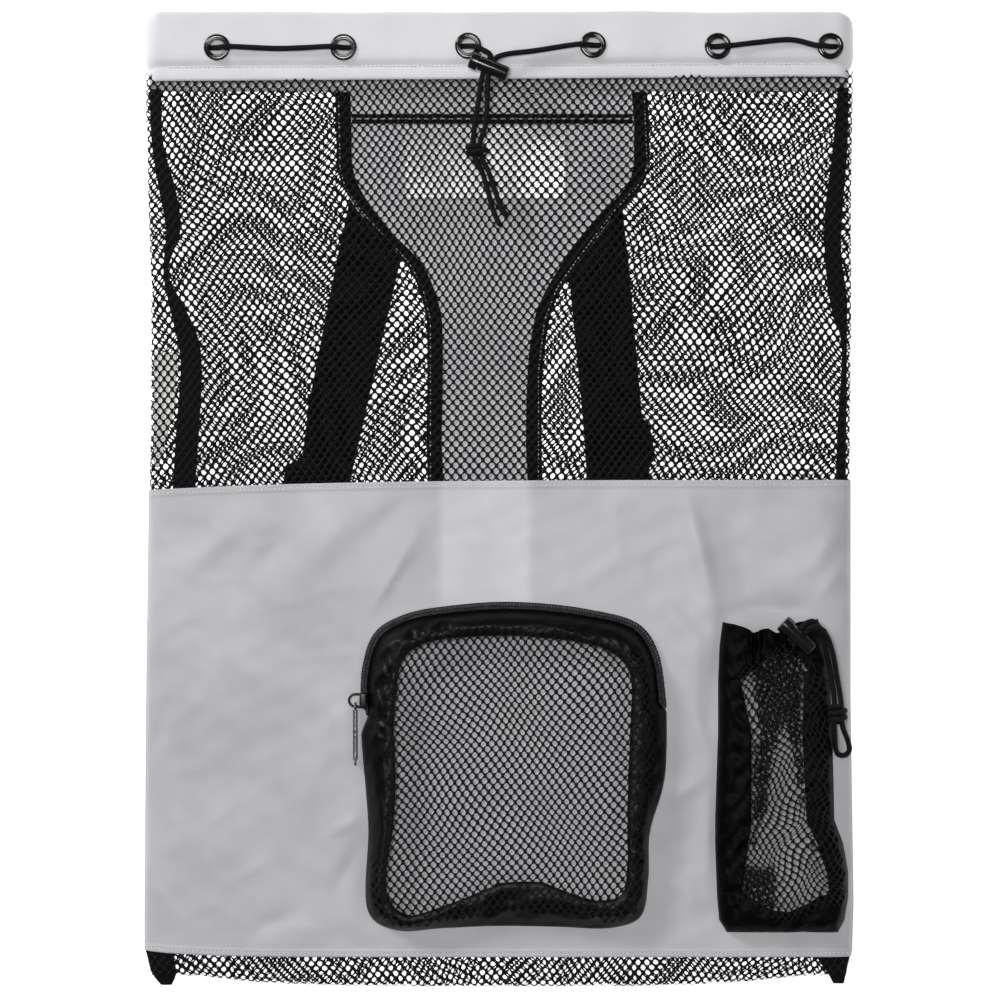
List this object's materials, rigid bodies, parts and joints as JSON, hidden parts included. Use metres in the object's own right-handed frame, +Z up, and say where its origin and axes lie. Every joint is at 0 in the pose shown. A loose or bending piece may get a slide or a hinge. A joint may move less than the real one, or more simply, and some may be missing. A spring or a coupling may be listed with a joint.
{
  "type": "mesh backpack",
  "caption": "Flat mesh backpack lying on its back: net body with cloth panels, drawstring mouth with cord locks, zip pocket, bottle pocket and webbing shoulder straps.",
  "frame": {"origin": "on the floor under the middle of the bag as it lies on its back", "axes": "+X across the front from left to right, +Y from the base to the mouth, +Z up from the floor through the front"},
  "size_m": [0.462, 0.635, 0.0479],
  "materials": {
    "net": "knitted polyester net",
    "grey_cloth": "coated polyester cloth, low sheen",
    "band_cloth": "coated polyester cloth, low sheen",
    "nylon": "black nylon cloth, soft sheen",
    "black_tape": "woven binding tape",
    "webbing": "woven strap webbing",
    "braid": "braided cord",
    "label_cloth": "satin label cloth",
    "lock_plastic": "moulded, semi-gloss",
    "zip_teeth": "nylon coil",
    "eyelet_enamel": "glossy black",
    "slider_enamel": "satin black",
    "puller_steel": "worn plated steel"
  },
  "bodies": {
    "bag": {"front_net": "net", "front_panel": "grey_cloth", "hem_net": "net", "back_net_left": "net", "back_net_right": "net", "yoke_panel": "grey_cloth", "yoke_binding_left": "black_tape", "yoke_binding_right": "black_tape", "yoke_crossbar": "black_tape", "strap_left": "webbing", "strap_right": "webbing", "seam_binding_left": "black_tape", "seam_binding_right": "black_tape", "care_label": "label_cloth", "mouth_band": "band_cloth", "eyelet_1": "eyelet_enamel", "eyelet_2": "eyelet_enamel", "eyelet_3": "eyelet_enamel", "eyelet_4": "eyelet_enamel", "eyelet_5": "eyelet_enamel", "eyelet_6": "eyelet_enamel", "cord_lock_body": "lock_plastic", "drawcord": "braid", "cord_leg_left": "braid", "cord_leg_right": "braid", "cord_tail_left": "braid", "cord_tail_right": "braid", "cord_knot": "braid", "pocket_gusset": "nylon", "pocket_face": "net", "pocket_flange": "nylon", "zip_coil": "zip_teeth", "zip_slider": "slider_enamel", "bottle_side_left": "nylon", "bottle_net": "net", "bottle_side_right": "nylon", "bottle_base": "nylon", "bottle_hem": "nylon", "bottle_lock_body": "lock_plastic", "bottle_leg_inner": "braid", "bottle_leg_outer": "braid", "bottle_knot": "braid", "bottle_loop": "braid"},
    "puller": {"zip_puller": "puller_steel"},
    "mouth_plunger": {"cord_lock_plunger": "lock_plastic"},
    "bottle_plunger": {"bottle_lock_plunger": "lock_plastic"}
  },
  "joints": [
    {"name": "puller_swing", "type": "hinge", "parent": "bag", "child": "puller", "pos_m": [-0.0933, -0.1303, 0.0259], "axis": [0, 0, -1], "range_deg": [0, 175]},
    {"name": "mouth_lock_press", "type": "slide", "parent": "bag", "child": "mouth_plunger", "axis": [0.9272, -0.3746, 0], "range_m": [0, 0.003], "stiffness_N_per_m": 400},
    {"name": "bottle_lock_press", "type": "slide", "parent": "bag", "child": "bottle_plunger", "axis": [0.7218, -0.6921, 0], "range_m": [0, 0.003], "stiffness_N_per_m": 400}
  ]
}
